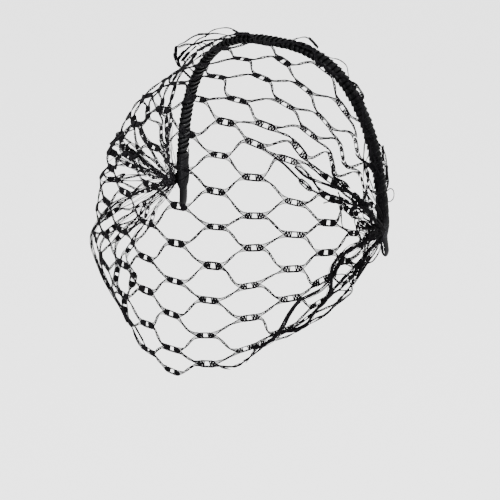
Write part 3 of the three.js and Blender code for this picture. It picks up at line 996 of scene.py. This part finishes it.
# Floor, light and camera
studio = {
    "floorSize": 60.0,
    "floorHeight": -0.55,
    "floorShade": (0.9, 0.9, 0.9, 1),
    "floorRoughness": 0.9,
    "worldStrength": 0.8,
    "sunStrength": 8.5,
    "sunSpread": 30,  # degrees, as its turn
    "sunTurn": (28, -14, 0),
    "lampAim": (0, 0, -0.08),
}
# Large soft lamps: place in metres, size, watts
softLamps = {
    "keyLight": ((-0.5, -1.3, 1.2), 0.9, 22),
    "fillLight": ((1.4, -0.5, 0.6), 0.5, 12),
    "backLight": ((0.3, 1.3, 0.9), 1.0, 10),
}
# Narrow lamps, one over the other, for the streak on the near tip alone
tipLamps = {
    "aim": (0.0765, 0.0115, -0.119),
    "toLamp": (0.95, 0.12),
    "lowest": -0.48,
    "highest": 0.12,
    "count": 21,
    "distance": 0.85,
    "cone": 2.4,
    "blend": 0.3,
    "radius": 0.012,
    "watts": 28,
}


def makeFloor():
    bpy.ops.object.select_all(action="DESELECT")
    bpy.ops.mesh.primitive_plane_add(size=studio["floorSize"], location=(0, 0, studio["floorHeight"]))
    floor = bpy.context.object
    floor.name = "floor"
    paleFloor, shader = newMaterial("paleFloor", studio["floorRoughness"])
    shader.inputs["Base Color"].default_value = studio["floorShade"]
    floor.data.materials.append(paleFloor)


def makeWorld():
    world = bpy.data.worlds.new("studio")
    bpy.context.scene.world = world
    world.use_nodes = True
    background = world.node_tree.nodes["Background"]
    background.inputs["Color"].default_value = (1, 1, 1, 1)
    background.inputs["Strength"].default_value = studio["worldStrength"]


def addLamp(data, place, aim):
    lamp = bpy.data.objects.new(data.name, data)
    lamp.location = place
    lamp.rotation_euler = (Vector(aim) - Vector(place)).to_track_quat("-Z", "Y").to_euler()
    bpy.context.scene.collection.objects.link(lamp)


def makeSoftLamps():
    for name, (place, size, watts) in softLamps.items():
        data = bpy.data.lights.new(name, "AREA")
        data.shape, data.size, data.energy = "SQUARE", size, watts
        addLamp(data, place, studio["lampAim"])


def makeTipLamps():
    aim = Vector(tipLamps["aim"])
    rises = np.linspace(tipLamps["lowest"], tipLamps["highest"], tipLamps["count"]).tolist()
    for k, rise in enumerate(rises):
        data = bpy.data.lights.new(f"tipLight{k}", "SPOT")
        data.energy, data.shadow_soft_size = tipLamps["watts"], tipLamps["radius"]
        data.spot_size, data.spot_blend = math.radians(tipLamps["cone"]), tipLamps["blend"]
        direction = Vector((*tipLamps["toLamp"], rise)).normalized()
        addLamp(data, aim + direction * tipLamps["distance"], aim)


def makeSun():
    data = bpy.data.lights.new("skyLight", "SUN")
    data.energy, data.angle = studio["sunStrength"], math.radians(studio["sunSpread"])
    sun = bpy.data.objects.new("skyLight", data)
    sun.rotation_euler = [math.radians(turn) for turn in studio["sunTurn"]]
    bpy.context.scene.collection.objects.link(sun)


makeFloor()
makeWorld()
makeSoftLamps()
makeTipLamps()
makeSun()
print("floor and lights done")

# Camera: azimuth and height above the horizon in degrees, metres and pixels of a 500 pixel picture
view = {
    "azimuth": 36.0,
    "height": 16.5,
    "roll": 1.4,
    "distance": 1.4,
    "sensor": 36,  # millimetres
    "clip": (0.01, 50),
    "metresPerPixel": 0.0006,
    "target": (0.0, 0.0, -0.098),
    "targetPixel": (270.5, 204.7),
    "picture": 500,
}


def makeCamera():
    azimuth, height, roll = (math.radians(view[k]) for k in ("azimuth", "height", "roll"))
    level = math.cos(height)
    back = Vector((math.sin(azimuth) * level, -math.cos(azimuth) * level, math.sin(height)))
    right = Vector((math.cos(azimuth), math.sin(azimuth), 0))
    up = back.cross(right)
    rolledRight = right * math.cos(roll) + up * math.sin(roll)
    rolledUp = up * math.cos(roll) - right * math.sin(roll)
    half = view["picture"] / 2
    offRight = (half - view["targetPixel"][0]) * view["metresPerPixel"]
    offDown = (half - view["targetPixel"][1]) * view["metresPerPixel"]
    target = Vector(view["target"])
    place = target + back * view["distance"]
    aim = target + rolledRight * offRight - rolledUp * offDown
    toEye = (place - aim).normalized()
    x = rolledUp.cross(toEye).normalized()
    data = bpy.data.cameras.new("camera")
    data.sensor_width = view["sensor"]
    data.lens = view["sensor"] * view["distance"] / (view["metresPerPixel"] * view["picture"])
    data.clip_start, data.clip_end = view["clip"]
    camera = bpy.data.objects.new("camera", data)
    camera.matrix_world = Matrix.Translation(place) @ Matrix((x, toEye.cross(x), toEye)).transposed().to_4x4()
    bpy.context.scene.collection.objects.link(camera)
    bpy.context.scene.camera = camera


makeCamera()
